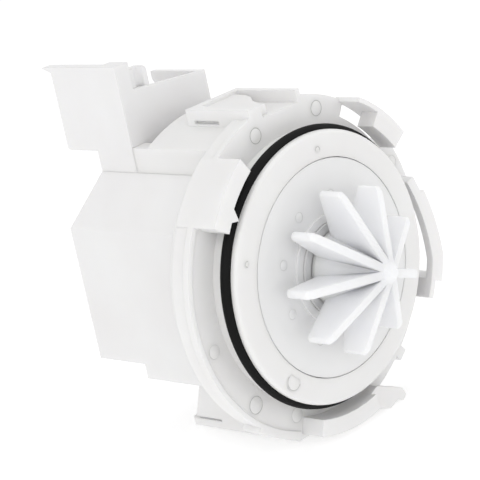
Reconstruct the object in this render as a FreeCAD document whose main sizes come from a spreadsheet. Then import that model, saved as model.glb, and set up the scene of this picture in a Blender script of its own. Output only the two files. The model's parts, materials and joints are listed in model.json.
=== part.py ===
import FreeCAD, Part
import math
import os
import re

import Sketcher

# Dishwasher drain pump, in millimetres.
# The pump axis is Y. The impeller side faces -Y, the motor lies toward +Y and +Z is up.
# The origin is on the pump axis in the front face of the flange.

SIZES = {
    # Collar that plugs into the sump, with the groove of its rubber ring
    "rim_radius": 36.0,
    "collar_length": 8.6,
    "collar_wall": 4.2,
    "rim_round": 1.0,
    "front_slope": 0.4,
    "groove_rear": 3.0,
    "groove_width": 3.3,
    "groove_depth": 1.85,
    "seal_cord_radius": 1.6,
    "seal_clearance": 0.05,
    # Seat of the face plate and of the rotor can
    "rim_land": 7.1,
    "plate_seat_depth": 4.55,
    "plate_clearance": 0.2,
    "plate_thickness": 2.5,
    "ledge_width": 2.9,
    "ledge_thickness": 2.0,
    "hub_hole_radius": 12.5,
    "plate_boss_radius": 14.7,
    "plate_boss_height": 0.6,
    # Flange, its lip and skirt, and the drum behind it
    "flange_width": 9.0,
    "flange_thickness": 2.5,
    "lip_width": 1.4,
    "lip_height": 0.6,
    "skirt_length": 5.7,
    "skirt_wall": 2.0,
    "skirt_inset": 0.35,
    "edge_strip": 1.6,
    "edge_lap": 1.0,
    "drum_inset": 4.5,
    "drum_wall": 2.2,
    "drum_length": 10.8,
    # Lugs and snap arms round the collar
    "lug_inset": 0.5,
    "lug_wall": 4.5,
    "lug_height": 7.2,
    "hook_start": 33.0,
    "hook_end": 48.5,
    "hook_root": 57.0,
    "hook_rear": 1.6,
    "hook_rise": 0.5,
    "hook_strap_wall": 1.3,
    "hook_window_start": 30.5,
    "left_lug_start": 123.0,
    "left_lug_end": 147.7,
    "left_lug_wall": 4.8,
    "left_lug_height": 8.0,
    "left_tooth_start": 138.6,
    "left_tooth_tip": 141.7,
    "left_tooth_step": 143.5,
    "left_tooth_reach": 2.9,
    "left_tooth_thickness": 1.2,
    "lever_start": -110.0,
    "lever_end": -79.0,
    "lever_tip_reach": 4.5,
    "lever_tip_angle": -65.0,
    "lever_tip_width": 2.6,
    "lever_tip_taper": 2.0,
    "lever_tip_setback": 1.4,
    "lever_tip_depth": 3.4,
    "arm_start": -32.0,
    "arm_foot_end": -25.1,
    "arm_foot_drop": 2.7,
    "arm_neck_start": 8.0,
    "arm_neck_drop": 1.4,
    "arm_end": 14.5,
    "arm_ramp_start": -17.0,
    "arm_low": 4.3,
    "arm_high": 9.0,
    "arm_depth": 2.1,
    "window_start": -24.5,
    "window_end": 9.0,
    "rim_tab_angle": -52.0,
    "rim_tab_width": 4.2,
    "rim_tab_reach": 2.3,
    # Saddle and clip plate on top
    "saddle_rise": 2.2,
    "saddle_half_width": 19.8,
    "saddle_end": 30.5,
    "saddle_wall": 2.2,
    "strip_width": 4.8,
    "clip_left": 10.8,
    "clip_right": 9.0,
    "clip_length": 22.8,
    "clip_rise": 0.8,
    "clip_depth": 3.3,
    "clip_left_rail": 3.4,
    "clip_right_rail": 2.2,
    "clip_rear_rail": 2.3,
    "clip_front_land": 2.0,
    "clip_tongue_drop": 0.8,
    "clip_slot_start": 11.3,
    "clip_slot_end": 20.2,
    "clip_slot_drop": 2.95,
    "clip_slot_depth": 1.2,
    "clip_slot_height": 0.95,
    # Foot plate and its ribs
    "foot_drop": 2.8,
    "foot_thickness": 2.2,
    "foot_half_width": 17.0,
    "foot_end": 39.8,
    "foot_rib_wall": 2.0,
    "foot_corner": 1.5,
    "foot_rib_end": 37.7,
    "foot_rib_top_end": 32.3,
    "foot_rib_gap": 0.6,
    "foot_gap_start": 28.0,
    "foot_flare_reach": 1.0,
    "foot_flare_start": -131.6,
    "foot_flare_end": -111.0,
    # Motor housing
    "box_half_width": 25.0,
    "box_wall": 1.8,
    "box_bottom": 26.8,
    "box_rear_bottom": 22.6,
    "box_step": 44.8,
    "box_rear": 62.8,
    "shoulder_height": 16.0,
    "box_top": 31.0,
    "rear_slope_start": 50.3,
    "rear_slope_end": 15.7,
    # Plug housing
    "socket_front": 36.3,
    "socket_rear": 62.1,
    "socket_right": 13.0,
    "socket_floor": 38.5,
    "socket_wall": 1.8,
    "socket_corner": 1.8,
    "socket_left_top": 58.3,
    "socket_lip_top": 60.0,
    "socket_lip_width": 2.8,
    "socket_lip_overhang": 3.4,
    "socket_post_width": 5.0,
    "socket_post_depth": 7.2,
    "socket_rib_top": 57.4,
    "socket_rib_width": 7.5,
    "socket_rib_depth": 2.9,
    "socket_groove_place": 4.3,
    "socket_groove_radius": 1.6,
    "socket_right_end": 57.3,
    "socket_rail_height": 3.4,
    "socket_front_high": 52.5,
    "socket_front_low": 49.8,
    # Spade terminals
    "blade_wide": 6.3,
    "blade_thick": 0.8,
    "blade_reach": 10.0,
    "blade_setback": 7.6,
    "blade_middle": 5.4,
    "blade_pitch": 10.0,
    "blade_clearance": 0.15,
    "blade_tail": 4.0,
    "blade_tail_end": 26.0,
    # Bearing cap in the face plate
    "cap_clearance": 0.1,
    "cap_proud": 1.35,
    "cap_wall": 2.2,
    "cap_skirt_wall": 1.6,
    "cap_bore_radius": 3.0,
    "cap_flange_radius": 15.0,
    "cap_flange_thickness": 1.2,
    "sleeve_wall": 1.8,
    # Rotor can
    "can_flange_thickness": 2.0,
    "can_wall": 1.1,
    "can_seal_radius": 24.0,
    "can_seal_cord_radius": 0.7,
    # Shaft and bearings
    "shaft_radius": 2.0,
    "bearing_clearance": 0.03,
    "bearing_radius": 4.2,
    "bearing_length": 7.0,
    "rear_bearing_length": 6.0,
    "mount_radius": 6.2,
    "washer_radius": 4.0,
    "washer_thickness": 0.8,
    "washer_clearance": 0.05,
    "end_play": 0.25,
    # Rotor
    "magnet_radius": 12.2,
    "magnet_gap": 1.0,
    "magnet_length": 26.0,
    "carrier_radius": 5.0,
    "carrier_flange_radius": 10.0,
    "carrier_flange_thickness": 1.6,
    "carrier_nose": 1.4,
    # Impeller and its lost-motion coupling
    "impeller_radius": 22.6,
    "blade_back": 11.9,
    "blade_shoulder": 18.2,
    "blade_corner": 19.2,
    "blade_corner_drop": 1.0,
    "blade_nose": 28.0,
    "blade_nose_radius": 2.6,
    "nose_reach": 29.2,
    "blade_thickness": 2.3,
    "blade_edge_fullness": 1.1,
    "blade_phase": 17.0,
    "hub_radius": 10.4,
    "hub_rim": 1.0,
    "hub_nose_radius": 3.6,
    "hub_gap": 0.35,
    "hub_front": 26.5,
    "cavity_radius": 5.1,
    "cavity_length": 6.0,
    "hub_cap_thickness": 1.0,
    "shaft_socket": 21.5,
    "journal_clearance": 0.06,
    "running_gap": 0.3,
    "dog_half_angle": 25.0,
    "dog_buffer_angle": 5.0,
    "dog_buffer_wall": 0.5,
    "dog_collar_radius": 2.9,
    "stop_half_angle": 30.0,
    # Stator
    "pole_gap": 0.4,
    "pole_inner": 9.0,
    "limb_width": 6.4,
    "core_half_height": 12.0,
    "yoke_width": 6.4,
    "bobbin_wall": 0.8,
    "bobbin_flange": 0.9,
    "bobbin_clearance": 0.1,
    "coil_start": 43.0,
    "coil_build": 2.9,
    "coil_clearance": 0.4,
    "protector_length": 9.0,
    "protector_wide": 3.8,
    "protector_height": 3.0,
    "protector_gap": 0.4,
    "lead_radius": 0.6,
}

BLADES = 9

doc = FreeCAD.newDocument("drain_pump")
sheet = doc.addObject("Spreadsheet::Sheet", "sizes")
for row, (alias, size) in enumerate(SIZES.items(), start=1):
    sheet.set(f"A{row}", str(size))
    sheet.setAlias(f"A{row}", alias)
doc.recompute()

WORDS = re.compile(r"[a-z_]+")
PLANES = {"XY": ("XY_Plane", 1), "XZ": ("XZ_Plane", -1), "YZ": ("YZ_Plane", 1)}


def bound(formula):
    """The formula with each size's name turned into its cell."""
    return WORDS.sub(lambda m: f"sizes.{m[0]}" if m[0] in SIZES else m[0], str(formula))


def number(formula):
    """What the formula comes to now."""
    value = doc.Objects[-1].evalExpression(bound(formula))
    return float(getattr(value, "Value", value))


def polar(radius, angle):
    """Formulas of the point at this radius and angle, in degrees from +X toward +Z."""
    return f"({radius}) * cos(({angle}) * 1 deg)", f"({radius}) * sin(({angle}) * 1 deg)"


def rectangle(left, right, low, high):
    return [(left, low), (right, low), (right, high), (left, high)]


def sector(inner, outer, start, end):
    """A stretch of a ring between two angles."""
    return [
        polar(inner, start),
        polar(outer, start) + (outer,),
        polar(outer, end),
        polar(inner, end) + (f"-({inner})",),
    ]


def slab(inner, outer, start, end):
    """A piece of a ring, cut straight across at its inner and outer side."""
    return [polar(inner, start), polar(outer, start), polar(outer, end), polar(inner, end)]


def new_body(label):
    body = doc.addObject("PartDesign::Body", label)
    body.Label = label
    doc.recompute()
    return body


def origin_part(body, role):
    return next(part for part in body.Origin.OriginFeatures if part.Role == role)


def draw(body, name, plane, points, height="0"):
    """A closed outline on an origin plane of the body, with every corner tied to its formulas.

    A point is (across, up), or (across, up, radius) when an arc leads on to the next point.
    A negative radius bends the arc the other way.
    """
    role, sign = PLANES[plane]
    sketch = body.newObject("Sketcher::SketchObject", name)
    sketch.AttachmentSupport = [(origin_part(body, role), "")]
    sketch.MapMode = "FlatFace"
    sketch.setExpression("AttachmentOffset.Base.z", bound(f"{sign} * ({height})"))
    corners = [FreeCAD.Vector(number(point[0]), number(point[1]), 0) for point in points]
    ends = []
    for index, point in enumerate(points):
        here = corners[index]
        there = corners[(index + 1) % len(points)]
        if len(point) == 2:
            sketch.addGeometry(Part.LineSegment(here, there))
            ends.append((1, 2))
            continue
        radius = number(point[2])
        chord = there - here
        rise = math.sqrt(radius ** 2 - (chord.Length / 2) ** 2)
        side = FreeCAD.Vector(-chord.y, chord.x, 0).normalize() * math.copysign(rise, radius)
        centre = (here + there) * 0.5 + side
        first, last = (here, there) if radius > 0 else (there, here)
        angles = [math.atan2((end - centre).y, (end - centre).x) for end in (first, last)]
        circle = Part.Circle(centre, FreeCAD.Vector(0, 0, 1), abs(radius))
        sketch.addGeometry(Part.ArcOfCircle(circle, *angles))
        ends.append((1, 2) if radius > 0 else (2, 1))
    for index, point in enumerate(points):
        after = (index + 1) % len(points)
        sketch.addConstraint(Sketcher.Constraint("Coincident", index, ends[index][1], after, ends[after][0]))
    for index, point in enumerate(points):
        for kind, formula in zip(("DistanceX", "DistanceY"), point):
            place = number(formula)
            tie = sketch.addConstraint(Sketcher.Constraint(kind, -1, 1, index, ends[index][0], place))
            sketch.setExpression(f"Constraints[{tie}]", bound(formula))
        if len(point) == 3:
            radius = f"abs({point[2]})"
            tie = sketch.addConstraint(Sketcher.Constraint("Radius", index, number(radius)))
            sketch.setExpression(f"Constraints[{tie}]", bound(radius))
    return sketch


def volume(body):
    return body.Shape.Volume if body.Tip else 0.0


def settle(body, feature, before, grows):
    """Recompute, and stop if the feature did nothing or went the wrong way."""
    doc.recompute()
    change = volume(body) - before
    if (change > 1e-6) != grows:
        raise ValueError(f"{feature.Label} of {body.Label} changed the volume by {change:.4f}")
    return feature


def pad(body, name, plane, points, low, high):
    """Add the outline, from one height along the plane's own axis to another."""
    before = volume(body)
    start = high if PLANES[plane][1] < 0 else low
    feature = body.newObject("PartDesign::Pad", name)
    feature.Profile = draw(body, name + "_outline", plane, points, start)
    feature.setExpression("Length", bound(f"({high}) - ({low})"))
    return settle(body, feature, before, True)


def pocket(body, name, plane, points, low, high):
    """Cut the outline, from one height along the plane's own axis to another."""
    before = volume(body)
    start = low if PLANES[plane][1] < 0 else high
    feature = body.newObject("PartDesign::Pocket", name)
    feature.Profile = draw(body, name + "_outline", plane, points, start)
    feature.setExpression("Length", bound(f"({high}) - ({low})"))
    return settle(body, feature, before, False)


def turn(body, name, points):
    """Add the outline, given as (radius, Y), turned about the pump axis."""
    before = volume(body)
    feature = body.newObject("PartDesign::Revolution", name)
    feature.Profile = draw(body, name + "_outline", "XY", points)
    feature.ReferenceAxis = (origin_part(body, "Y_Axis"), [""])
    feature.Angle = 360
    return settle(body, feature, before, True)


def bore(body, name, points):
    """Cut the outline, given as (radius, Y), turned about the pump axis."""
    before = volume(body)
    feature = body.newObject("PartDesign::Groove", name)
    feature.Profile = draw(body, name + "_outline", "XY", points)
    feature.ReferenceAxis = (origin_part(body, "Y_Axis"), [""])
    feature.Angle = 360
    return settle(body, feature, before, False)


def turned(label, points):
    """A body that is one outline turned about the pump axis."""
    body = new_body(label)
    turn(body, "turned", points)
    return body


def ring(label, radius, cord, place):
    """A rubber ring about the pump axis."""
    torus = doc.addObject("Part::Torus", label)
    torus.Label = label
    torus.setExpression("Radius1", bound(radius))
    torus.setExpression("Radius2", bound(cord))
    torus.setExpression("Placement",
                        f"placement(vector(0; {bound(place)}; 0); rotation(vector(1; 0; 0); 90))")
    return torus


# Radii that follow from the rim of the collar and from the magnet
FLANGE_RADIUS = "(rim_radius + flange_width)"
DRUM_RADIUS = f"({FLANGE_RADIUS} - drum_inset)"
LUG_OUTER = f"({FLANGE_RADIUS} - lug_inset)"
LUG_INNER = f"({LUG_OUTER} - lug_wall)"
HOOK_OUTER = f"({FLANGE_RADIUS} + hook_rise)"
LEVER_TIP = f"({FLANGE_RADIUS} + lever_tip_reach)"
SADDLE_RADIUS = f"({DRUM_RADIUS} + saddle_rise)"
CLIP_TOP = f"({FLANGE_RADIUS} + clip_rise)"
FOOT_BOTTOM = f"({DRUM_RADIUS} + foot_drop)"
COLLAR_BORE = "(rim_radius - collar_wall)"
PLATE_SEAT = "(rim_radius - rim_land)"
LEDGE_BORE = f"({PLATE_SEAT} - ledge_width)"
CAN_BORE = "(magnet_radius + magnet_gap)"
CAN_OUTER = f"({CAN_BORE} + can_wall)"
CAN_HOLE = f"({CAN_OUTER} + running_gap)"

# Places along the pump axis that several pieces share
RING_FRONT = "-collar_length"
LEDGE_FRONT = f"({RING_FRONT} + plate_seat_depth)"
CAN_FRONT = f"({LEDGE_FRONT} - can_flange_thickness)"
PLATE_FRONT = f"({CAN_FRONT} - plate_thickness)"
PLATE_RADIUS = f"({PLATE_SEAT} - plate_clearance)"
CAP_FRONT = f"({PLATE_FRONT} - cap_proud)"
CAP_WALL_REAR = f"({CAP_FRONT} + cap_wall)"
BEARING_FRONT = f"({CAP_WALL_REAR} + end_play)"
BEARING_REAR = f"({BEARING_FRONT} + bearing_length)"
WASHER_FRONT = f"({BEARING_REAR} + end_play)"
CARRIER_FRONT = f"({WASHER_FRONT} + washer_thickness)"
MAGNET_FRONT = f"({CARRIER_FRONT} + carrier_nose + carrier_flange_thickness)"
MAGNET_REAR = f"({MAGNET_FRONT} + magnet_length)"
CARRIER_REAR = f"({MAGNET_REAR} + carrier_flange_thickness + end_play)"
REAR_WASHER_REAR = f"({CARRIER_REAR} + washer_thickness)"
REAR_BEARING_FRONT = f"({REAR_WASHER_REAR} + end_play)"
REAR_BEARING_REAR = f"({REAR_BEARING_FRONT} + rear_bearing_length)"
BUSH_BORE = "(shaft_radius + bearing_clearance)"
WASHER_BORE = "(shaft_radius + washer_clearance)"
HUB_REAR = f"({CAP_FRONT} - hub_gap)"
CAVITY_REAR = f"({HUB_REAR} - hub_cap_thickness)"
CAVITY_FRONT = f"({CAVITY_REAR} - cavity_length)"
DOG_REAR = f"({CAVITY_REAR} - running_gap)"
DOG_FRONT = f"({CAVITY_FRONT} + running_gap)"
DOG_RADIUS = "(cavity_radius - running_gap - dog_buffer_wall)"
CAN_END = f"({CARRIER_REAR} + end_play + can_wall)"
POCKET_END = f"({REAR_BEARING_REAR} + 2 * end_play + can_wall)"

# The stator, measured in from the inside of the motor housing
POLE_OUTER = "(box_half_width - box_wall - running_gap)"
LIMB_OUTER = "(box_half_width - box_wall - coil_clearance - coil_build - bobbin_wall - bobbin_clearance)"
LIMB_INNER = f"({LIMB_OUTER} - limb_width)"
LIMB_START = f"({CAN_END} + running_gap)"
CORE_END = "(box_rear - box_wall - running_gap)"
YOKE_START = f"({CORE_END} - yoke_width)"
COIL_END = f"({YOKE_START} - coil_clearance)"
LIMB_TOP = "(core_half_height + bobbin_clearance)"
TUBE_OUTER = f"({LIMB_OUTER} + bobbin_clearance + bobbin_wall)"
TUBE_TOP = f"({LIMB_TOP} + bobbin_wall)"
WIRE_TOP = f"({TUBE_TOP} + coil_build)"
BLADE_FRONT = "(socket_front + blade_setback)"
PROTECTOR_SIDE = "(saddle_half_width - box_wall - 2 * running_gap)"
LEAD_FOOT = f"({PROTECTOR_SIDE} - protector_wide - protector_gap - lead_radius)"


def make_pump_body():
    body = new_body("pump_body")
    floor = "(rim_radius - groove_depth)"
    groove_front = "-(groove_rear + groove_width)"
    turn(body, "collar_and_flange", [
        (PLATE_SEAT, RING_FRONT),
        ("rim_radius - rim_round", f"{RING_FRONT} + front_slope", "rim_round"),
        ("rim_radius", f"{RING_FRONT} + front_slope + rim_round"),
        ("rim_radius", groove_front),
        (floor, groove_front),
        (floor, "-groove_rear"),
        ("rim_radius", "-groove_rear"),
        ("rim_radius", "0"),
        (FLANGE_RADIUS, "0"),
        (FLANGE_RADIUS, "edge_strip"),
        (f"{FLANGE_RADIUS} - skirt_inset", "edge_strip"),
        (f"{FLANGE_RADIUS} - skirt_inset", "skirt_length"),
        (f"{FLANGE_RADIUS} - skirt_wall", "skirt_length"),
        (f"{FLANGE_RADIUS} - skirt_wall", "flange_thickness"),
        (DRUM_RADIUS, "flange_thickness"),
        (DRUM_RADIUS, "drum_length"),
        (CAN_HOLE, "drum_length"),
        (CAN_HOLE, "drum_length - drum_wall"),
        (f"{DRUM_RADIUS} - drum_wall", "drum_length - drum_wall"),
        (f"{DRUM_RADIUS} - drum_wall", "flange_thickness"),
        (COLLAR_BORE, "flange_thickness"),
        (COLLAR_BORE, f"{LEDGE_FRONT} + ledge_thickness"),
        (LEDGE_BORE, f"{LEDGE_FRONT} + ledge_thickness"),
        (LEDGE_BORE, LEDGE_FRONT),
        (PLATE_SEAT, LEDGE_FRONT),
    ])
    core_side = f"({POLE_OUTER} + running_gap)"
    core_top = "(core_half_height + running_gap)"
    pocket(body, "core_opening", "XZ", rectangle(f"-{core_side}", core_side, f"-{core_top}", core_top),
           "drum_length - drum_wall", "drum_length")
    add_foot(body)
    add_saddle(body)
    add_lugs(body)
    return body


def add_foot(body):
    """The flat foot under the drum, on two ribs, and the flared flange edge in front of it."""
    plate_top = f"-({FOOT_BOTTOM} - foot_thickness)"
    rib_inner = "(foot_half_width - foot_rib_wall)"
    pad(body, "foot_plate", "XY", [
        ("-foot_half_width", "0"),
        ("foot_half_width", "0"),
        ("foot_half_width", "foot_end - foot_corner", "foot_corner"),
        ("foot_half_width - foot_corner", "foot_end"),
        ("-foot_half_width + foot_corner", "foot_end", "foot_corner"),
        ("-foot_half_width", "foot_end - foot_corner"),
    ], f"-{FOOT_BOTTOM}", plate_top)
    for side in (-1, 1):
        name = "left" if side < 0 else "right"
        across = [f"{side} * foot_half_width", f"{side} * {rib_inner}"]
        low, high = sorted(across, key=number)
        pad(body, f"foot_rib_{name}", "YZ", [
            ("flange_thickness", "-box_bottom"),
            ("flange_thickness", plate_top),
            ("foot_gap_start", plate_top),
            ("foot_gap_start", f"{plate_top} + foot_rib_gap"),
            ("foot_rib_end", f"{plate_top} + foot_rib_gap"),
            ("foot_rib_top_end", "-(box_bottom + running_gap)"),
            ("drum_length", "-(box_bottom + running_gap)"),
        ][::-1], low, high)
    inner = f"{FLANGE_RADIUS} - lip_width"
    flare = sector(inner, f"{FLANGE_RADIUS} + foot_flare_reach", "foot_flare_start", "foot_flare_end")
    pad(body, "foot_flare", "XZ", flare, "-lip_height", "skirt_length")
    lip = sector(inner, FLANGE_RADIUS, "left_lug_end - edge_lap", "foot_flare_start + 360 + edge_lap")
    pad(body, "edge_lip", "XZ", lip, "-lip_height", "edge_strip")


def add_saddle(body):
    """The arched hood over the motor, its side strip and the clip plate on top."""
    side = "saddle_half_width"
    inner = f"({side} - saddle_wall)"
    shoulder = f"sqrt({SADDLE_RADIUS} ^ 2 - {side} ^ 2)"
    under = f"({SADDLE_RADIUS} - saddle_wall)"
    drum_middle = f"({DRUM_RADIUS} - drum_wall / 2)"
    inner_shoulder = f"sqrt({under} ^ 2 - {inner} ^ 2)"
    arch = [
        (side, "box_top"),
        (side, shoulder, SADDLE_RADIUS),
        (f"-{side}", shoulder),
        (f"-{side}", "box_top"),
    ]
    hollow = [
        (inner, "box_top"),
        (inner, inner_shoulder, under),
        (f"-{inner}", inner_shoulder),
        (f"-{inner}", "box_top"),
    ]
    pad(body, "saddle", "XZ", arch, "drum_length - drum_wall", "saddle_end")
    pocket(body, "saddle_hollow", "XZ", hollow, "drum_length - drum_wall", "saddle_end - saddle_wall")
    pad(body, "saddle_strip", "XZ", rectangle(f"-{side}", f"-{side} + strip_width", "box_top", shoulder),
        "saddle_end", "socket_front")
    pad(body, "saddle_front", "XZ", [
        (side, f"sqrt({drum_middle} ^ 2 - {side} ^ 2)"),
        (side, shoulder, SADDLE_RADIUS),
        (f"-{side}", shoulder),
        (f"-{side}", f"sqrt({drum_middle} ^ 2 - {side} ^ 2)", f"-{drum_middle}"),
    ], "flange_thickness", "drum_length")
    add_clip_plate(body)


def add_clip_plate(body):
    """The plate on top that a clip of the sump slides over, with its curved tongue in a sunk floor."""
    floor = f"({CLIP_TOP} - clip_depth)"
    left, right = "(clip_left - clip_left_rail)", "(clip_right - clip_right_rail)"
    rear = "(clip_length - clip_rear_rail)"
    root = f"{DRUM_RADIUS} - drum_wall / 2"
    pad(body, "clip_plate", "XZ", rectangle("-clip_left", "clip_right", root, CLIP_TOP), "0", "clip_length")
    pocket(body, "clip_recess", "XY", [
        (f"-{left} + lip_width", "-lip_width"),
        (f"{right} + lip_height", "-lip_width"),
        (right, rear),
        (f"-{left}", rear),
        (f"-{left}", "clip_front_land"),
        (f"-{left} + lip_width", "clip_front_land"),
    ], floor, CLIP_TOP)
    pad(body, "clip_tongue", "XY", [
        (f"-{left} - lip_height", "clip_front_land"),
        (f"-{left} * 0.3", "clip_front_land", f"-{left} * 3"),
        (f"{right} * 0.13", f"{rear} * 0.47", f"{left} * 2"),
        (f"{right} * 0.76", f"{rear} * 0.78"),
        (f"{right} * 0.88", f"{rear} + lip_height"),
        (f"-{left} - lip_height", f"{rear} + lip_height"),
    ], f"{floor} - lip_height", f"{CLIP_TOP} - clip_tongue_drop")
    slot_top = f"({CLIP_TOP} - clip_slot_drop)"
    for side, low, high in (("left", "-clip_left", "-clip_left + clip_slot_depth"),
                            ("right", "clip_right - clip_slot_depth", "clip_right")):
        slot = rectangle(low, high, f"{slot_top} - clip_slot_height", slot_top)
        pocket(body, f"clip_slot_{side}", "XZ", slot, "clip_slot_start", "clip_slot_end")


def add_lugs(body):
    """The lugs and snap arms that lock the pump in the sump, with the flange windows behind them."""
    add_left_lug(body)
    add_lever(body)
    add_arm(body)
    add_hook(body)
    half = "(rim_tab_width / 2)"
    tab = sector(f"{FLANGE_RADIUS} - lip_width", f"{FLANGE_RADIUS} + rim_tab_reach",
                 f"rim_tab_angle - {half}", f"rim_tab_angle + {half}")
    pad(body, "rim_tab", "XZ", tab, "0", "skirt_length")


def add_left_lug(body):
    """The tall lug whose outer side is flush with the flange, with a tooth that points to the collar."""
    inner = f"({FLANGE_RADIUS} - left_lug_wall)"
    face = f"({inner} - lip_height)"
    pad(body, "left_lug", "XZ", sector(inner, FLANGE_RADIUS, "left_lug_start", "left_lug_end"),
        "-left_lug_height", "flange_thickness / 2")
    pad(body, "left_lug_side", "XZ", sector(f"{FLANGE_RADIUS} - skirt_wall", FLANGE_RADIUS,
                                            "left_lug_start", "left_lug_end"), "0", "skirt_length")
    pad(body, "left_tooth", "XZ", [
        polar(f"{inner} + lip_height", "left_tooth_start"),
        polar(f"{inner} + lip_height", "left_lug_end"),
        polar(face, "left_lug_end"),
        polar(face, "left_tooth_step"),
        polar(f"{inner} - left_tooth_reach", "left_tooth_tip"),
        polar(inner, "left_tooth_start"),
    ], "-left_lug_height", "-left_lug_height + left_tooth_thickness")


def add_lever(body):
    """The lug under the collar, which ends in a thinner springy tip beyond the flange."""
    pad(body, "lever", "XZ", sector(LUG_INNER, LUG_OUTER, "lever_start", "lever_end"),
        "-lug_height", "flange_thickness / 2")
    pad(body, "lever_tip", "XZ", [
        polar(LUG_INNER, "lever_end - edge_lap"),
        polar(f"{LUG_INNER} - lip_height", "lever_end + 2 * lever_tip_taper"),
        polar(f"{LEVER_TIP} - lever_tip_width", "lever_tip_angle"),
        polar(LEVER_TIP, "lever_tip_angle"),
        polar(f"{LEVER_TIP} + lip_height", "lever_tip_angle - lever_tip_taper"),
        polar(f"{LEVER_TIP} - lever_tip_width / 2", "lever_tip_angle - 2 * lever_tip_taper"),
        polar(f"{LEVER_TIP} - lever_tip_width / 2", "lever_tip_angle - 4 * lever_tip_taper"),
        polar(LUG_OUTER, "lever_end - edge_lap"),
    ][::-1], "-lug_height + lever_tip_setback", "-lug_height + lever_tip_setback + lever_tip_depth")


def add_arm(body):
    """The springy arm on the right, on a foot and a neck, over a window in the flange."""
    foot, neck = f"({LUG_OUTER} - arm_foot_drop)", f"({LUG_OUTER} - arm_neck_drop)"
    pad(body, "arm", "XZ", [
        polar(LUG_INNER, "arm_start"),
        polar(foot, "arm_start") + (foot,),
        polar(foot, "arm_foot_end"),
        polar(LUG_OUTER, "arm_foot_end") + (LUG_OUTER,),
        polar(LUG_OUTER, "arm_neck_start"),
        polar(neck, "arm_neck_start") + (neck,),
        polar(neck, "arm_end"),
        polar(LUG_INNER, "arm_end") + (f"-{LUG_INNER}",),
    ], "-arm_high", "flange_thickness / 2")
    ramp_low = f"({LUG_INNER} * sin(arm_ramp_start * 1 deg))"
    ramp_high = f"({neck} * sin(arm_end * 1 deg))"
    clear = ("rim_radius + seal_clearance", f"{FLANGE_RADIUS} + lip_width")
    pocket(body, "arm_ramp", "YZ", [
        ("-(arm_high + lip_width)", ramp_low),
        ("-arm_high", ramp_low),
        ("-arm_low", ramp_high),
        ("-arm_low", f"{ramp_high} + lip_width"),
        ("-(arm_high + lip_width)", f"{ramp_high} + lip_width"),
    ], *clear)
    under_low = f"({LUG_INNER} * sin(window_start * 1 deg))"
    under_high = f"({LUG_INNER} * sin(window_end * 1 deg))"
    slope = f"((arm_high - arm_low) / ({ramp_high} - {ramp_low}))"
    pocket(body, "arm_underside", "YZ", [
        ("-arm_high + arm_depth", under_low),
        ("0", under_low),
        ("0", under_high),
        (f"-arm_high + arm_depth + {slope} * ({under_high} - {ramp_low})", under_high),
        ("-arm_high + arm_depth", ramp_low),
    ], *clear)
    pocket(body, "arm_window", "XZ", slab(f"{DRUM_RADIUS} + lip_height", f"{FLANGE_RADIUS} + 2 * lip_width",
                                          "window_start", "window_end"), "0", "skirt_length")


def add_hook(body):
    """The hook at the upper right: a block on a thin strap that runs over an open window."""
    strap = f"({HOOK_OUTER} - hook_strap_wall)"
    pocket(body, "hook_window", "XZ", sector(DRUM_RADIUS, f"{FLANGE_RADIUS} + lip_width",
                                             "hook_window_start", "hook_root"), "-lip_height", "skirt_length")
    pad(body, "hook_strap", "XZ", sector(strap, HOOK_OUTER, "hook_start", "hook_root + 2 * edge_lap"),
        "-lug_height", "flange_thickness / 2")
    pad(body, "hook", "XZ", sector(LUG_INNER, f"{strap} + hook_strap_wall / 2", "hook_start", "hook_end"),
        "-lug_height", "-hook_rear")


def make_face_plate():
    groove_in = "(can_seal_radius - can_seal_cord_radius - seal_clearance)"
    groove_out = "(can_seal_radius + can_seal_cord_radius + seal_clearance)"
    groove_bottom = f"({CAN_FRONT} - 2 * can_seal_cord_radius - seal_clearance)"
    return turned("face_plate", [
        ("hub_hole_radius", f"{PLATE_FRONT} - plate_boss_height"),
        ("plate_boss_radius", f"{PLATE_FRONT} - plate_boss_height"),
        ("plate_boss_radius", PLATE_FRONT),
        (PLATE_RADIUS, PLATE_FRONT),
        (PLATE_RADIUS, CAN_FRONT),
        (groove_out, CAN_FRONT),
        (groove_out, groove_bottom),
        (groove_in, groove_bottom),
        (groove_in, CAN_FRONT),
        ("hub_hole_radius", CAN_FRONT),
    ])


def make_bearing_cap():
    cap_radius = "(hub_hole_radius - cap_clearance)"
    flange_rear = f"{CAN_FRONT} + cap_flange_thickness"
    sleeve = "(mount_radius + sleeve_wall)"
    return turned("bearing_cap", [
        ("cap_bore_radius", CAP_FRONT),
        (cap_radius, CAP_FRONT),
        (cap_radius, CAN_FRONT),
        ("cap_flange_radius", CAN_FRONT),
        ("cap_flange_radius", flange_rear),
        (f"{cap_radius} - cap_skirt_wall", flange_rear),
        (f"{cap_radius} - cap_skirt_wall", CAP_WALL_REAR),
        (sleeve, CAP_WALL_REAR),
        (sleeve, f"{BEARING_REAR} + end_play"),
        ("mount_radius", f"{BEARING_REAR} + end_play"),
        ("mount_radius", CAP_WALL_REAR),
        ("cap_bore_radius", CAP_WALL_REAR),
    ])


def make_rotor_can():
    mouth = "(cap_flange_radius + running_gap)"
    mouth_rear = f"({CAN_FRONT} + cap_flange_thickness + seal_clearance)"
    pocket_radius = "(mount_radius + can_wall)"
    return turned("rotor_can", [
        (mouth, CAN_FRONT),
        (PLATE_RADIUS, CAN_FRONT),
        (PLATE_RADIUS, LEDGE_FRONT),
        (CAN_OUTER, LEDGE_FRONT),
        (CAN_OUTER, CAN_END),
        (pocket_radius, CAN_END),
        (pocket_radius, POCKET_END),
        ("0", POCKET_END),
        ("0", f"{POCKET_END} - can_wall"),
        ("mount_radius", f"{POCKET_END} - can_wall"),
        ("mount_radius", f"{CAN_END} - can_wall"),
        (CAN_BORE, f"{CAN_END} - can_wall"),
        (CAN_BORE, mouth_rear),
        (mouth, mouth_rear),
    ])


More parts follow.
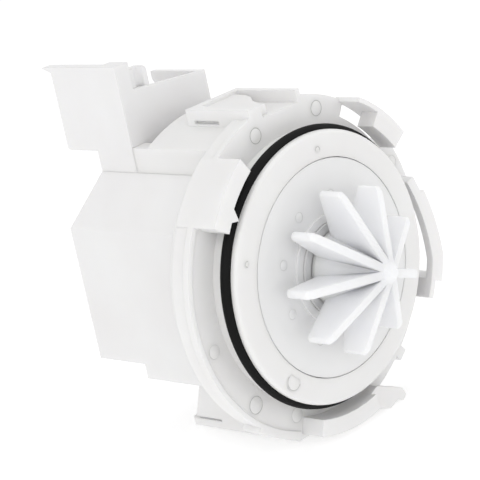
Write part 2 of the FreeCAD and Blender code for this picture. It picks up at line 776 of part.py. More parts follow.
def make_bearings():
    sets = {"front": (BEARING_FRONT, BEARING_REAR), "rear": (REAR_BEARING_FRONT, REAR_BEARING_REAR)}
    pieces = []
    for place, (front, rear) in sets.items():
        pieces.append(turned(f"{place}_bearing", rectangle(BUSH_BORE, "bearing_radius", front, rear)))
        pieces.append(turned(f"{place}_bearing_mount", rectangle("bearing_radius", "mount_radius", front, rear)))
    return pieces


def make_rotor():
    flange = "carrier_flange_radius"
    shaft_front = "-(shaft_socket - running_gap)"
    return [
        turned("rotor_shaft", rectangle("0", "shaft_radius", shaft_front, REAR_BEARING_REAR)),
        turned("rotor_magnet", rectangle("carrier_radius", "magnet_radius", MAGNET_FRONT, MAGNET_REAR)),
        turned("rotor_carrier", [
            ("shaft_radius", CARRIER_FRONT),
            ("carrier_radius", CARRIER_FRONT),
            ("carrier_radius", f"{CARRIER_FRONT} + carrier_nose"),
            (flange, f"{CARRIER_FRONT} + carrier_nose"),
            (flange, MAGNET_FRONT),
            ("carrier_radius", MAGNET_FRONT),
            ("carrier_radius", MAGNET_REAR),
            (flange, MAGNET_REAR),
            (flange, f"{MAGNET_REAR} + carrier_flange_thickness"),
            ("carrier_radius", f"{MAGNET_REAR} + carrier_flange_thickness"),
            ("carrier_radius", CARRIER_REAR),
            ("shaft_radius", CARRIER_REAR),
        ]),
        turned("front_thrust_washer",
               rectangle(WASHER_BORE, "washer_radius", WASHER_FRONT, CARRIER_FRONT)),
        turned("rear_thrust_washer",
               rectangle(WASHER_BORE, "washer_radius", CARRIER_REAR, REAR_WASHER_REAR)),
    ]


def make_dog():
    """The dog on the shaft and the rubber buffer round it."""
    dog = new_body("drive_dog")
    turn(dog, "collar", rectangle("shaft_radius", "dog_collar_radius", DOG_FRONT, DOG_REAR))
    pad(dog, "dog", "XZ", sector("dog_collar_radius - journal_clearance", DOG_RADIUS,
                                 "-dog_half_angle", "dog_half_angle"), DOG_FRONT, DOG_REAR)
    buffer = new_body("dog_buffer")
    pad(buffer, "buffer", "XZ", sector("dog_collar_radius + seal_clearance", "cavity_radius - running_gap",
                                       "-(dog_half_angle + dog_buffer_angle)",
                                       "dog_half_angle + dog_buffer_angle"), DOG_FRONT, DOG_REAR)
    pocket(buffer, "dog_seat", "XZ", sector("shaft_radius", DOG_RADIUS, "-dog_half_angle", "dog_half_angle"),
           DOG_FRONT, DOG_REAR)
    return [dog, buffer]


def make_impeller():
    body = new_body("impeller")
    turn(body, "hub", [
        ("0", "-hub_front"),
        ("hub_nose_radius", "-hub_front"),
        ("hub_radius", f"{HUB_REAR} - hub_rim"),
        ("hub_radius", HUB_REAR),
        ("0", HUB_REAR),
    ])
    turn(body, "nose", [
        ("0", "-nose_reach"),
        ("blade_nose_radius / 2", "-nose_reach"),
        ("blade_nose_radius", "-blade_nose"),
        ("hub_nose_radius", "-hub_front"),
        ("0", "-hub_front"),
    ])
    stations = [
        ("blade_back", "impeller_radius"),
        ("blade_shoulder", "impeller_radius"),
        ("blade_corner", "impeller_radius - blade_corner_drop"),
        ("blade_nose", "blade_nose_radius"),
    ]
    half = "(blade_thickness / 2)"
    sections = []
    for index, (reach, radius) in enumerate(stations):
        sections.append(draw(body, f"blade_section_{index}", "XZ", [
            ("0", f"-{half}"),
            (f"{radius} - {half}", f"-{half}", f"{half} * blade_edge_fullness"),
            (f"{radius} - {half}", half),
            ("0", half),
        ], f"-{reach}"))
    before = volume(body)
    blade = body.newObject("PartDesign::AdditiveLoft", "blade")
    blade.Profile = sections[0]
    blade.Sections = sections[1:]
    blade.Ruled = True
    settle(body, blade, before, True)
    before = volume(body)
    blades = body.newObject("PartDesign::PolarPattern", "blades")
    blades.Originals = [blade]
    blades.Axis = (origin_part(body, "Y_Axis"), [""])
    blades.Angle = 360
    blades.Occurrences = BLADES
    body.Tip = blades
    settle(body, blades, before, True)
    bore(body, "coupling_cavity", [
        ("0", HUB_REAR),
        ("0", "-shaft_socket"),
        ("shaft_radius + journal_clearance", "-shaft_socket"),
        ("shaft_radius + journal_clearance", CAVITY_FRONT),
        ("cavity_radius", CAVITY_FRONT),
        ("cavity_radius", HUB_REAR),
    ])
    stop = sector("dog_collar_radius + running_gap", "cavity_radius + dog_buffer_wall",
                  "180 - blade_phase - stop_half_angle", "180 - blade_phase + stop_half_angle")
    pad(body, "stop", "XZ", stop, CAVITY_FRONT, CAVITY_REAR)
    body.setExpression("Placement",
                       f"placement(vector(0; 0; 0); rotation(vector(0; 1; 0); -{bound('blade_phase')}))")
    cap = turned("impeller_hub_cap", rectangle("shaft_radius + journal_clearance", "cavity_radius",
                                               CAVITY_REAR, HUB_REAR))
    return [body, cap]


def mirrored(points):
    """The points on the other side of the middle plane, in the order that closes the outline."""
    return [(f"-({across})", up) for across, up in points[::-1]]


def make_core():
    """The U-shaped stack of laminations: two pole shoes round the can, two limbs and a yoke."""
    core = new_body("stator_core")
    outside = [
        ("pole_inner", MAGNET_FRONT),
        (POLE_OUTER, MAGNET_FRONT),
        (POLE_OUTER, MAGNET_REAR),
        (LIMB_OUTER, f"{MAGNET_REAR} + {POLE_OUTER} - {LIMB_OUTER}"),
        (LIMB_OUTER, CORE_END),
    ]
    inside = [
        (LIMB_INNER, YOKE_START),
        (LIMB_INNER, LIMB_START),
        ("pole_inner", LIMB_START),
    ]
    outline = outside + mirrored(outside) + mirrored(inside) + inside
    pad(core, "laminations", "XY", outline, "-core_half_height", "core_half_height")
    bore(core, "pole_bore", rectangle("0", f"{CAN_OUTER} + pole_gap", f"{MAGNET_FRONT} - 1", LIMB_START))
    return core


def across(low, high, top, sign):
    """A rectangle that runs up and down alike, on the side of the middle plane that the sign gives."""
    near, far = sorted([f"{sign} * {low}", f"{sign} * {high}"], key=number)
    return rectangle(near, far, f"-{top}", top)


def make_coils():
    """The two bobbins on the limbs, each with its winding, and the protector on the left one."""
    tube_inner = f"({LIMB_INNER} - bobbin_clearance - bobbin_wall)"
    limb = (f"({LIMB_INNER} - bobbin_clearance)", f"({LIMB_OUTER} + bobbin_clearance)", LIMB_TOP)
    tube = (tube_inner, TUBE_OUTER, TUBE_TOP)
    wire = (f"({tube_inner} - coil_build)", f"({TUBE_OUTER} + coil_build)", WIRE_TOP)
    start, end = "(coil_start + bobbin_flange)", f"({COIL_END} - bobbin_flange)"
    pieces = []
    for side, sign in (("left", -1), ("right", 1)):
        bobbin = new_body(f"coil_bobbin_{side}")
        pad(bobbin, "tube", "XZ", across(*tube, sign), "coil_start", COIL_END)
        pad(bobbin, "front_flange", "XZ", across(*wire, sign), "coil_start", start)
        pad(bobbin, "rear_flange", "XZ", across(*wire, sign), end, COIL_END)
        pocket(bobbin, "limb_hole", "XZ", across(*limb, sign), "coil_start", COIL_END)
        winding = new_body(f"winding_{side}")
        pad(winding, "turns", "XZ", across(*wire, sign), start, end)
        pocket(winding, "bobbin_hole", "XZ", across(*tube, sign), start, end)
        pieces += [bobbin, winding]
    protector = new_body("thermal_protector")
    case = rectangle(f"-{PROTECTOR_SIDE}", f"-{PROTECTOR_SIDE} + protector_wide", start,
                     f"{start} + protector_length")
    pad(protector, "case", "XY", case, WIRE_TOP, f"{WIRE_TOP} + protector_height")
    return pieces + [protector]


def blade_sides():
    """Each spade blade's side, its sign and its place across the plug housing."""
    middle = "((socket_right - saddle_half_width) / 2)"
    return [("left", -1, f"({middle} - blade_pitch / 2)"), ("right", 1, f"({middle} + blade_pitch / 2)")]


def grouped(label, pieces):
    """Several solids of one kind under one name."""
    group = doc.addObject("Part::Compound", label)
    group.Label = label
    group.Links = pieces
    doc.recompute()
    return group


def make_terminals():
    """The two spade blades that stand in the plug housing, and the leads that rise to them."""
    blades, leads = [], []
    middle = "(socket_floor + blade_middle)"
    low, high = f"({middle} - blade_wide / 2)", f"({middle} + blade_wide / 2)"
    tip = f"({BLADE_FRONT} + blade_reach)"
    bend = f"(({WIRE_TOP} + blade_tail_end) / 2)"
    for side, sign, place in blade_sides():
        blade = new_body(f"blade_{side}")
        pad(blade, "sheet", "YZ", [
            (BLADE_FRONT, "blade_tail_end"),
            (f"{BLADE_FRONT} + blade_tail", "blade_tail_end"),
            (f"{BLADE_FRONT} + blade_tail", low),
            (f"{tip} - blade_thick", low),
            (tip, f"{low} + blade_thick"),
            (tip, f"{high} - blade_thick"),
            (f"{tip} - blade_thick", high),
            (BLADE_FRONT, high),
        ], f"{place} - blade_thick / 2", f"{place} + blade_thick / 2")
        blades.append(blade)
        foot = f"({sign} * {LEAD_FOOT})"
        outline = [
            (f"{foot} - {sign} * lead_radius", WIRE_TOP),
            (f"{foot} + {sign} * lead_radius", WIRE_TOP),
            (f"{foot} + {sign} * lead_radius", f"{bend} + lead_radius"),
            (f"{place} + {sign} * lead_radius", f"{bend} + lead_radius"),
            (f"{place} + {sign} * lead_radius", "blade_tail_end"),
            (f"{place} - {sign} * lead_radius", "blade_tail_end"),
            (f"{place} - {sign} * lead_radius", f"{bend} - lead_radius"),
            (f"{foot} - {sign} * lead_radius", f"{bend} - lead_radius"),
        ]
        lead = new_body(f"lead_{side}")
        pad(lead, "wire", "XZ", outline, f"{BLADE_FRONT} + lead_radius", f"{BLADE_FRONT} + 3 * lead_radius")
        leads.append(lead)
    return [grouped("spade_terminals", blades), grouped("winding_leads", leads)]


def blade_slots(body, low, high):
    """The slots that the tails of the spade blades pass through."""
    reach = "(blade_thick / 2 + blade_clearance)"
    for side, _, place in blade_sides():
        slot = rectangle(f"{place} - {reach}", f"{place} + {reach}", f"{BLADE_FRONT} - blade_clearance",
                         f"{BLADE_FRONT} + blade_tail + blade_clearance")
        pocket(body, f"blade_slot_{side}", "XY", slot, low, high)


def make_motor_housing():
    body = new_body("motor_housing")
    over = "box_wall"
    low = [
        ("box_half_width", "-box_bottom"),
        ("box_half_width", "shoulder_height"),
        ("saddle_half_width", "box_top"),
    ]
    pad(body, "box", "XZ", low + mirrored(low), "drum_length", "box_rear")
    width = ("-(box_half_width + box_wall)", "box_half_width + box_wall")
    pocket(body, "rear_step", "YZ", rectangle("box_step", f"box_rear + {over}", f"-box_bottom - {over}",
                                              "-box_rear_bottom"), *width)
    pocket(body, "rear_slope", "YZ", [
        ("rear_slope_start", "box_top"),
        ("box_rear", "rear_slope_end"),
        (f"box_rear + {over}", "rear_slope_end"),
        (f"box_rear + {over}", "box_top + box_wall"),
        ("rear_slope_start", "box_top + box_wall"),
    ], *width)
    hollow_motor_housing(body)
    blade_slots(body, "box_top - 2 * box_wall", "box_top")
    return body


def hollow_motor_housing(body):
    """Cut the inside of the housing, one wall in from each outer face."""
    side, top = "(box_half_width - box_wall)", "(box_top - box_wall)"
    deep, shallow = "-(box_bottom - box_wall)", "-(box_rear_bottom - box_wall)"
    ridge = "(saddle_half_width - box_wall)"
    overlap = "(rear_slope_start - 2 * box_wall)"
    rear = "(box_rear - box_wall)"
    for name, bottom, end in (("hollow_front", deep, "box_step - box_wall"),
                              ("hollow_middle", shallow, "rear_slope_start - box_wall")):
        right = [(side, bottom), (side, "shoulder_height"), (ridge, top)]
        pocket(body, name, "XZ", right + mirrored(right), "drum_length", end)
    pocket(body, "hollow_rear", "YZ", [
        (overlap, shallow),
        (rear, shallow),
        (rear, "rear_slope_end - box_wall"),
        ("rear_slope_start - box_wall", top),
        (overlap, top),
    ], f"-{ridge}", ridge)
    pocket(body, "hollow_rear_sides", "YZ", [
        (overlap, shallow),
        (rear, shallow),
        (rear, "rear_slope_end - box_wall"),
        (f"{COIL_END} + box_wall", "shoulder_height"),
        (overlap, "shoulder_height"),
    ], f"-{side}", side)


def make_connector_shroud():
    """The plug housing on its pedestal: open toward the rear, with a rail on each side for the plug."""
    body = new_body("connector_shroud")
    left, right = "-saddle_half_width", "socket_right"
    inner_left = f"({left} + socket_wall)"
    inner_right = f"({right} - socket_wall)"
    post = f"({left} + socket_post_width)"
    under = "(socket_floor - socket_wall)"
    base = rectangle(left, right, "box_top", "socket_floor")
    pad(body, "pedestal", "XZ", base, "socket_front", "rear_slope_start")
    floor = rectangle(left, right, under, "socket_floor")
    pad(body, "floor", "XZ", floor, "socket_front", "socket_right_end")
    pad(body, "left_wall", "YZ", [
        ("socket_front", under),
        ("socket_rear - socket_wall / 2", under, "socket_wall / 2"),
        ("socket_rear", f"{under} + socket_wall / 2"),
        ("socket_rear", "socket_left_top"),
        ("socket_front", "socket_left_top"),
    ], left, inner_left)
    pad(body, "left_rail", "YZ", [
        ("socket_front", "socket_left_top"),
        ("socket_rear", "socket_left_top"),
        ("socket_rear + socket_lip_overhang", "socket_lip_top - 0.3"),
        ("socket_rear + socket_lip_overhang - 0.5", "socket_lip_top"),
        ("socket_front", "socket_lip_top"),
    ], left, f"{left} + socket_lip_width")
    pad(body, "front_wall", "XZ", [
        (left, "socket_floor"),
        (right, "socket_floor"),
        (right, "socket_front_low"),
        (post, "socket_front_high"),
        (post, "socket_lip_top"),
        (left, "socket_lip_top"),
    ], "socket_front", "socket_front + socket_wall")
    pad(body, "post", "XY", rectangle(left, post, "socket_front", "socket_front + socket_post_depth"),
        "socket_floor", "socket_lip_top")
    wall_rear = "(socket_front + socket_wall)"
    rib_end = f"({post} + socket_rib_width)"
    pad(body, "guide_rib", "XZ", [
        (f"{post} - socket_wall / 2", "socket_floor"),
        (rib_end, "socket_floor"),
        (rib_end, "socket_rib_top - socket_corner", "socket_corner"),
        (f"{rib_end} - socket_corner", "socket_rib_top"),
        (f"{post} - socket_wall / 2", "socket_rib_top"),
    ], wall_rear, f"{wall_rear} + socket_rib_depth")
    groove = f"({post} + socket_groove_place)"
    half = "(socket_groove_radius * 0.97)"
    pocket(body, "guide_groove", "XY", [
        (f"{groove} - {half}", wall_rear),
        (f"{groove} + {half}", wall_rear, "socket_groove_radius"),
    ], "socket_front_low", "socket_rib_top")
    rail_low = "(socket_front_low - socket_rail_height)"
    corner = "(socket_rail_height / 2)"
    pad(body, "right_wall", "YZ", [
        ("socket_front", under),
        ("socket_front + socket_post_depth", under),
        ("socket_front + socket_post_depth", f"{rail_low} - {corner}", f"-{corner}"),
        (f"socket_front + socket_post_depth + {corner}", rail_low),
        (f"socket_right_end - {corner}", rail_low, corner),
        ("socket_right_end", f"{rail_low} + {corner}"),
        ("socket_right_end", "socket_front_low"),
        ("socket_front", "socket_front_low"),
    ], inner_right, right)
    pocket(body, "rounded_corner", "XY", [
        (f"{right} - socket_corner", "socket_front - socket_wall"),
        (f"{right} + socket_wall", "socket_front - socket_wall"),
        (f"{right} + socket_wall", "socket_front + socket_corner"),
        (right, "socket_front + socket_corner", "-socket_corner"),
        (f"{right} - socket_corner", "socket_front"),
    ], "box_top", "socket_front_high")
    blade_slots(body, "box_top", "socket_floor")
    return body


def check(objects):
    """Stop if any object failed, or a piece has no sound shape."""
    doc.recompute()
    for item in doc.Objects:
        if "Invalid" in item.State or "Error" in item.State:
            raise ValueError(f"{item.Label} is {item.State}")
    for item in objects:
        if item.Shape.isNull() or not item.Shape.isValid() or not item.Shape.Solids:
            raise ValueError(f"{item.Label} has no sound shape")


def main():
    pieces = [make_pump_body(), make_face_plate(), make_bearing_cap(), make_rotor_can()]
    pieces.append(ring("seal_ring", "rim_radius - groove_depth + seal_clearance + seal_cord_radius",
                       "seal_cord_radius", "-(groove_rear + groove_width / 2)"))
    pieces.append(ring("can_seal_ring", "can_seal_radius", "can_seal_cord_radius",
                       f"{CAN_FRONT} - can_seal_cord_radius - seal_clearance / 2"))
    pieces += make_bearings()
    pieces += make_rotor()
    pieces += make_dog()
    pieces += make_impeller()
    pieces.append(make_core())
    pieces += make_coils()
    pieces += make_terminals()
    pieces += [make_motor_housing(), make_connector_shroud()]
    check(pieces)
    os.makedirs("parts", exist_ok=True)
    for piece in pieces:
        piece.Shape.exportStep(f"parts/{piece.Label}.step")
    print(len(pieces), "pieces")


main()
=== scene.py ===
import json
import math

import bpy
from mathutils import Matrix, Vector
from mathutils.bvhtree import BVHTree


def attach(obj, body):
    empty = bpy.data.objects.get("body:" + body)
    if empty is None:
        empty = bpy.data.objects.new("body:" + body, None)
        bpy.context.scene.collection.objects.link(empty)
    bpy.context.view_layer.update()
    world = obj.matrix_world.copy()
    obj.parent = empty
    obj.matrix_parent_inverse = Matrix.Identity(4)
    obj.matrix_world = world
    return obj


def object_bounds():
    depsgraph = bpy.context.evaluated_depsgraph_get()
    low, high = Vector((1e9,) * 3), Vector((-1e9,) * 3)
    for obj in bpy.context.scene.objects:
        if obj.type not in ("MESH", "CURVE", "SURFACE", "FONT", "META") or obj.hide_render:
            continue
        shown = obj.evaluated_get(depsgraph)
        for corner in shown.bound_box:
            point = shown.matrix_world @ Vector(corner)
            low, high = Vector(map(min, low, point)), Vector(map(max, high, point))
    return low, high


# Looks of a dishwasher drain pump: satin white mouldings, a black rubber ring and a milky impeller.
# Lengths are in metres. The pump axis is Y, the impeller side faces -Y and +Z is up.

MM = 0.001
WHITE = (1, 1, 1, 1)

# Camera, measured from the round collar and the square edges of the motor box in the photograph
FRAME_WIDTH = 480
FOCAL_PIXELS = 2062.5
SENSOR_WIDTH = 36.0
CLIP_START = 0.01
CAMERA_PLACE = Vector((-0.3676, -0.3642, 0.1615))
CAMERA_RIGHT = Vector((0.67039, -0.71472, -0.19937))
CAMERA_UP = Vector((0.33895, 0.05595, 0.93914))
CAMERA_BACK = Vector((-0.66007, -0.69717, 0.27977))


def make_camera():
    data = bpy.data.cameras.new("camera")
    data.sensor_width = SENSOR_WIDTH
    data.lens = FOCAL_PIXELS / FRAME_WIDTH * SENSOR_WIDTH
    data.clip_start = CLIP_START
    camera = bpy.data.objects.new("camera", data)
    axes = Matrix((CAMERA_RIGHT, CAMERA_UP, CAMERA_BACK)).transposed()
    camera.matrix_world = Matrix.Translation(CAMERA_PLACE) @ axes.to_4x4()
    bpy.context.scene.collection.objects.link(camera)
    bpy.context.scene.camera = camera


# Light

# How brightly the surroundings light things, and how bright they look themselves
WORLD_LEVEL = 0.73
WORLD_SEEN = 1.0
LAMP_AIM = (0, 0.02, 0)
# Each lamp's place, the width of its disc and its power
LAMPS = {
    "front": ((-0.65, -0.75, 0.45), 0.9, 1.85),
    "left": ((-0.95, 0.0, 0.5), 0.8, 0.8),
    "right": ((0.9, -0.6, 0.4), 0.9, 1.2),
    "top": ((0.0, 0.0, 1.1), 0.9, 1.7),
}


def map_range(tree, value, low, high, start=0.0, end=1.0):
    """A value that runs from start to end, stretched to run from low to high."""
    node = tree.nodes.new("ShaderNodeMapRange")
    node.inputs["From Min"].default_value = start
    node.inputs["From Max"].default_value = end
    node.inputs["To Min"].default_value = low
    node.inputs["To Max"].default_value = high
    tree.links.new(value, node.inputs["Value"])
    return node


def seen_directly(tree):
    """1 for a ray from the camera, a mirror or clear plastic, and 0 for the light that falls on things."""
    path = tree.nodes.new("ShaderNodeLightPath")
    total = path.outputs["Is Camera Ray"]
    for name in ("Is Glossy Ray", "Is Transmission Ray"):
        add = tree.nodes.new("ShaderNodeMath")
        add.operation = "MAXIMUM"
        tree.links.new(total, add.inputs[0])
        tree.links.new(path.outputs[name], add.inputs[1])
        total = add.outputs[0]
    return total


def make_world():
    world = bpy.data.worlds.new("studio")
    world.use_nodes = True
    tree = world.node_tree
    background = tree.nodes["Background"]
    background.inputs["Color"].default_value = WHITE
    level = map_range(tree, seen_directly(tree), WORLD_LEVEL, WORLD_SEEN)
    tree.links.new(level.outputs["Result"], background.inputs["Strength"])
    bpy.context.scene.world = world


def make_lamp(name, place, size, power):
    data = bpy.data.lights.new(name, "AREA")
    data.shape = "DISK"
    data.size = size
    data.energy = power
    lamp = bpy.data.objects.new(name, data)
    lamp.location = Vector(place)
    lamp.rotation_mode = "QUATERNION"
    lamp.rotation_quaternion = (Vector(LAMP_AIM) - Vector(place)).to_track_quat("-Z", "Y")
    bpy.context.scene.collection.objects.link(lamp)


def make_lights():
    for name, (place, size, power) in LAMPS.items():
        make_lamp(name, place, size, power)


# Materials

# The part of a noise's values that is stretched over a finish, since few lie outside it
NOISE_LOW = 0.3
NOISE_HIGH = 0.7
# How much fine detail the patches of colour, the smears of gloss and the grain have
PATCH_DETAIL = 4.0
SMEAR_DETAIL = 3.0
GRAIN_DETAIL = 2.0
SMEARS_TO_A_PATCH = 4
EDGE_SAMPLES = 6


def new_material(name):
    material = bpy.data.materials.new(name)
    material.use_nodes = True
    tree = material.node_tree
    return material, tree, tree.nodes["Principled BSDF"]


def noise(tree, waves, detail):
    """A noise in the object's own space, with this many waves to the millimetre."""
    place = tree.nodes.new("ShaderNodeTexCoord")
    texture = tree.nodes.new("ShaderNodeTexNoise")
    texture.inputs["Scale"].default_value = waves / MM
    texture.inputs["Detail"].default_value = detail
    tree.links.new(place.outputs["Object"], texture.inputs["Vector"])
    return texture.outputs["Fac"]


def spread(tree, value, low, high):
    """A noise's usual values stretched from low to high."""
    return map_range(tree, value, low, high, NOISE_LOW, NOISE_HIGH).outputs["Result"]


def tinted(tree, value, dark, light):
    """A colour between dark and light, by a noise."""
    mix = tree.nodes.new("ShaderNodeMix")
    mix.data_type = "RGBA"
    tree.links.new(spread(tree, value, 0.0, 1.0), mix.inputs["Factor"])
    mix.inputs["A"].default_value = (*dark, 1)
    mix.inputs["B"].default_value = (*light, 1)
    return mix.outputs["Result"]


def surface(name, dark, light, rough, grain=0.6, depth=0.004, edge=0.25, mottle=0.05):
    """A finish with uneven colour, uneven gloss, a fine grain and softened edges.

    The grain and the mottle are in waves to the millimetre, the grain's depth and the edge in millimetres.
    """
    material, tree, shader = new_material(name)
    patches = noise(tree, mottle, PATCH_DETAIL)
    tree.links.new(tinted(tree, patches, dark, light), shader.inputs["Base Color"])
    smears = noise(tree, mottle * SMEARS_TO_A_PATCH, SMEAR_DETAIL)
    tree.links.new(spread(tree, smears, *rough), shader.inputs["Roughness"])
    bump = tree.nodes.new("ShaderNodeBump")
    bump.inputs["Distance"].default_value = depth * MM
    tree.links.new(noise(tree, grain, GRAIN_DETAIL), bump.inputs["Height"])
    if edge:
        bevel = tree.nodes.new("ShaderNodeBevel")
        bevel.samples = EDGE_SAMPLES
        bevel.inputs["Radius"].default_value = edge * MM
        tree.links.new(bevel.outputs["Normal"], bump.inputs["Normal"])
    tree.links.new(bump.outputs["Normal"], shader.inputs["Normal"])
    return material, shader


# How far each colour of light spreads in milky plastic, blue a little the furthest
MILKY_SPREAD = (1.0, 1.0, 1.1)


def milky(shader, share, depth):
    """Light that goes into the plastic and comes out a little further on."""
    shader.inputs["Subsurface Weight"].default_value = share
    shader.inputs["Subsurface Radius"].default_value = MILKY_SPREAD
    shader.inputs["Subsurface Scale"].default_value = depth * MM


CREASE_SAMPLES = 8
# How open a place is where the painted crease shade is darkest, and where it ends
CREASE_CLOSED = 0.08
CREASE_OPEN = 0.5
# How wide the painted crease shade is, in millimetres, and how dark it gets
CREASE_REACH = 6.0
CREASE_SHADE = 0.12


def paint_crease_shade(tree, shader):
    """Painted shade: darken the colour in narrow creases, where shade falls between the blades near the hub.
    """
    crease = tree.nodes.new("ShaderNodeAmbientOcclusion")
    crease.samples = CREASE_SAMPLES
    crease.inputs["Distance"].default_value = CREASE_REACH * MM
    level = map_range(tree, crease.outputs["AO"], CREASE_SHADE, 1.0, CREASE_CLOSED, CREASE_OPEN)
    level.interpolation_type = "SMOOTHSTEP"
    scale = tree.nodes.new("ShaderNodeVectorMath")
    scale.operation = "SCALE"
    colour = shader.inputs["Base Color"].links[0].from_socket
    tree.links.new(colour, scale.inputs[0])
    tree.links.new(level.outputs["Result"], scale.inputs["Scale"])
    tree.links.new(scale.outputs["Vector"], shader.inputs["Base Color"])


# Softened edges of the small inner pieces, in millimetres
FINE_EDGE = 0.1
METAL_ROUGH = (0.25, 0.42)
# Each finish: its darkest and lightest colour, its range of roughness, and what else differs from the usual
FINISHES = {
    "white_body": ((0.80, 0.79, 0.785), (0.825, 0.825, 0.82), (0.38, 0.5), {}),
    "white_plate": ((0.80, 0.80, 0.80), (0.83, 0.83, 0.83), (0.34, 0.44), {}),
    "white_box": ((0.81, 0.80, 0.80), (0.84, 0.84, 0.84), (0.42, 0.55), {}),
    "grey_cap": ((0.64, 0.64, 0.64), (0.68, 0.68, 0.68), (0.35, 0.45), {}),
    "black_seal": ((0.004, 0.004, 0.004), (0.007, 0.007, 0.007), (0.55, 0.7), {"edge": FINE_EDGE}),
    "soft_mount": ((0.02, 0.02, 0.02), (0.035, 0.035, 0.035), (0.6, 0.8), {"edge": FINE_EDGE}),
    "bearing": ((0.13, 0.13, 0.14), (0.18, 0.18, 0.19), (0.4, 0.6), {"edge": FINE_EDGE}),
    "bobbin": ((0.10, 0.10, 0.11), (0.14, 0.14, 0.15), (0.45, 0.6), {"edge": FINE_EDGE}),
    "protector": ((0.04, 0.04, 0.045), (0.06, 0.06, 0.065), (0.35, 0.5), {"edge": FINE_EDGE}),
    "magnet": ((0.07, 0.07, 0.08), (0.11, 0.11, 0.12), (0.5, 0.7), {"grain": 2.0, "edge": FINE_EDGE}),
    "impeller_plastic": (
        (0.80, 0.805, 0.825), (0.82, 0.825, 0.845), (0.34, 0.42), {"edge": 0, "depth": 0.002}),
    "laminations": ((0.38, 0.39, 0.41), (0.48, 0.49, 0.51), METAL_ROUGH, {"edge": FINE_EDGE}),
    "tinned_brass": ((0.70, 0.69, 0.65), (0.80, 0.79, 0.76), METAL_ROUGH, {"edge": FINE_EDGE}),
    "steel_shaft": ((0.58, 0.59, 0.61), (0.68, 0.69, 0.71), METAL_ROUGH, {"edge": FINE_EDGE}),
    "copper_wire": ((0.60, 0.27, 0.12), (0.78, 0.40, 0.20), METAL_ROUGH, {"edge": FINE_EDGE}),
    # These two colour the fine line round each mark, painted darker as the shade of a fine groove
    "mark_painted_shade": ((0.46, 0.46, 0.45), (0.60, 0.60, 0.59), (0.5, 0.6), {"edge": 0, "mottle": 0.6}),
    "faint_painted_shade": ((0.62, 0.62, 0.61), (0.80, 0.80, 0.80), (0.5, 0.6), {"edge": 0, "mottle": 0.4}),
}
METALS = ("laminations", "tinned_brass", "steel_shaft", "copper_wire")
# The share of the light that enters each milky plastic, and how far it goes in millimetres
MILKY = {
    "white_body": (0.45, 2.5),
    "white_plate": (0.3, 2.0),
    "white_box": (0.3, 2.0),
    "impeller_plastic": (0.9, 7.0),
}
SEAL_SHEEN = 0.12


def make_materials():
    """One finish for each material slot of the record, and two of painted shade for the lines round the
    marks.
    """
    made, shaders = {}, {}
    for slot, (dark, light, rough, rest) in FINISHES.items():
        made[slot], shaders[slot] = surface(slot, dark, light, rough, **rest)
    for slot, (share, depth) in MILKY.items():
        milky(shaders[slot], share, depth)
    for slot in METALS:
        shaders[slot].inputs["Metallic"].default_value = 1.0
    shaders["black_seal"].inputs["Specular IOR Level"].default_value = SEAL_SHEEN
    # The impeller's colour gets painted shade in its creases.
    paint_crease_shade(made["impeller_plastic"].node_tree, shaders["impeller_plastic"])
    return made


def paint_nodes(frame, slots, materials):
    for node, slot in slots.items():
        painted = frame["nodes"][node].data.materials
        painted.clear()
        painted.append(materials[slot])


# Floor

FLOOR_SIZE = 6.0
FLOOR_SHARE = 0.78
FLOOR_ROUGHNESS = 0.9
# How brightly the floor glows, for what it lights and for what sees it
FLOOR_GLOW = (0.34, 0.42)


def make_floor(low):
    """A pale floor just under the lowest point, white where nothing shades it."""
    mesh = bpy.data.meshes.new("floor")
    half = FLOOR_SIZE / 2
    corners = [(-half, -half, low), (half, -half, low), (half, half, low), (-half, half, low)]
    mesh.from_pydata(corners, [], [(0, 1, 2, 3)])
    floor = bpy.data.objects.new("floor", mesh)
    bpy.context.scene.collection.objects.link(floor)
    material, tree, shader = new_material("floor_paper")
    shader.inputs["Base Color"].default_value = (FLOOR_SHARE, FLOOR_SHARE, FLOOR_SHARE, 1)
    shader.inputs["Roughness"].default_value = FLOOR_ROUGHNESS
    shader.inputs["Specular IOR Level"].default_value = 0.0
    shader.inputs["Emission Color"].default_value = WHITE
    glow = map_range(tree, seen_directly(tree), *FLOOR_GLOW)
    tree.links.new(glow.outputs["Result"], shader.inputs["Emission Strength"])
    mesh.materials.append(material)


# Marks left by the mould's ejector pins

# The ring of marks round the face plate: how many, their distance from the pump axis, where they start and
# the radius of each, in millimetres and degrees
FACE_MARKS = 9
FACE_MARK_RING = 19.2
FACE_MARK_START = 118.0
FACE_MARK_SIZE = 1.5
# Each group: the node that carries it, the finish of its lines (a darker colour painted as the shade of a
# fine groove), and for each mark its distance from the pump axis in millimetres, its angle from +X toward +Z
# in degrees, and its radius in millimetres
MARKS = {
    "flange_marks": ("pump_body", "mark_painted_shade", [
        (40.2, -136.9, 2.5),
        (40.1, 104.3, 2.2),
        (41.3, 70.3, 2.2),
    ]),
    "flange_faint_marks": ("pump_body", "faint_painted_shade", [
        (39.4, -113.6, 2.2),
        (42.0, 22.0, 2.0),
        (40.4, -167.7, 2.0),
    ]),
    "rim_marks": ("pump_body", "mark_painted_shade", [
        (32.0, -134.4, 2.5),
        (32.3, 158.2, 0.9),
        (31.4, 85.2, 1.0),
    ]),
    "face_plate_marks": ("face_plate", "faint_painted_shade", [
        (FACE_MARK_RING, FACE_MARK_START + 360 / FACE_MARKS * step, FACE_MARK_SIZE)
        for step in range(FACE_MARKS)
    ]),
}
MARK_SIDES = 40
# How high a mark's disc stands and how far in its line reaches, in millimetres
MARK_HEIGHT = 0.08
MARK_LINE = 0.3
# A mark's profile from the disc to the face that carries it: how far in from the rim, in millimetres, how
# high as a share of the disc's height, and whether the strip from there to the next is the line, coloured
# with painted shade
MARK_PROFILE = (
    (MARK_LINE + 0.12, 1.0, False),
    (MARK_LINE, 0.15, True),
    (0.06, 0.15, False),
    (0.0, 0.6, False),
    (-0.1, -0.5, False),
)
# In front of the whole pump, where the rays that look for a mark's seat start
RAY_START = -0.1


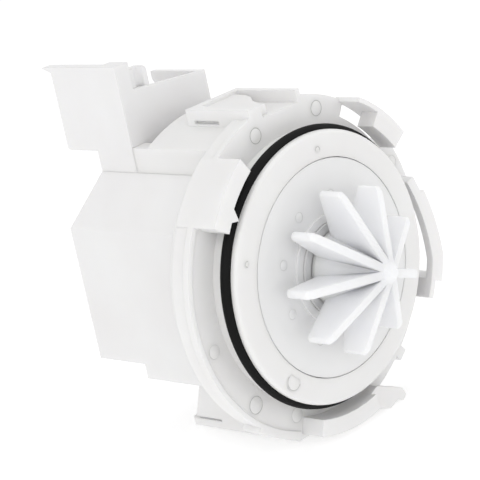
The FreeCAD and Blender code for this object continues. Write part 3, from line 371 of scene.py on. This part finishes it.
def surface_finder(node):
    mesh = node.data
    return BVHTree.FromPolygons([v.co for v in mesh.vertices], [list(p.vertices) for p in mesh.polygons])


def mark_points(x, seat, z, size):
    """A mark's middle point, then its rings from the disc outward."""
    points = [(x, seat - MARK_HEIGHT * MM, z)]
    for inward, height, _ in MARK_PROFILE:
        reach = (size - inward) * MM
        y = seat - height * MARK_HEIGHT * MM
        for side in range(MARK_SIDES):
            around = math.tau * side / MARK_SIDES
            points.append((x + reach * math.cos(around), y, z + reach * math.sin(around)))
    return points


def mark_faces(first):
    """The faces of the mark whose middle point has this number, each with whether it is part of the line."""
    faces = []
    for side in range(MARK_SIDES):
        after = (side + 1) % MARK_SIDES
        faces.append(((first, first + 1 + side, first + 1 + after), False))
        for ring in range(len(MARK_PROFILE) - 1):
            inner = first + 1 + ring * MARK_SIDES
            outer = inner + MARK_SIDES
            corners = (inner + side, outer + side, outer + after, inner + after)
            faces.append((corners, MARK_PROFILE[ring][2]))
    return faces


def make_marks(frame, name, carrier, finish, line, places, materials):
    """Low round marks, each a raised disc inside a fine line painted darker as shade, seated on the face
    that looks to -Y.
    """
    tree = surface_finder(frame["nodes"][carrier])
    points, faces = [], []
    for radius, angle, size in places:
        turn = math.radians(angle)
        x, z = radius * MM * math.cos(turn), radius * MM * math.sin(turn)
        seat = tree.ray_cast(Vector((x, RAY_START, z)), Vector((0, 1, 0)))[0].y
        faces += mark_faces(len(points))
        points += mark_points(x, seat, z, size)
    mesh = bpy.data.meshes.new(name)
    mesh.from_pydata(points, [], [corners for corners, _ in faces])
    for slot in (finish, line):
        mesh.materials.append(materials[slot])
    for face, (_, is_line) in zip(mesh.polygons, faces):
        face.material_index = int(is_line)
        face.use_smooth = True
    marks = bpy.data.objects.new(name, mesh)
    bpy.context.scene.collection.objects.link(marks)
    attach(marks, "housing")


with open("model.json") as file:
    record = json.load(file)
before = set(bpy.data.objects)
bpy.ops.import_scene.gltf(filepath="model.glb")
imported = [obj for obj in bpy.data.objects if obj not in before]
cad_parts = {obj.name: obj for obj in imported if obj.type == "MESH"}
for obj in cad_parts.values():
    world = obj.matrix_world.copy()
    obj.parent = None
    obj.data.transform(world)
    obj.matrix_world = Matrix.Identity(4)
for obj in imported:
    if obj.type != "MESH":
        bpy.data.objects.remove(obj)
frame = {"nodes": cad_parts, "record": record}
slots = {part["node"]: part["material_slot"] for part in frame["record"]["subparts"]}
cad_low, cad_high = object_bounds()
make_camera()
make_world()
make_lights()
make_floor(cad_low.z)
materials = make_materials()
paint_nodes(frame, slots, materials)
for name, (carrier, line, places) in MARKS.items():
    make_marks(frame, name, carrier, slots[carrier], line, places, materials)
bpy.context.scene.view_settings.view_transform = "Standard"
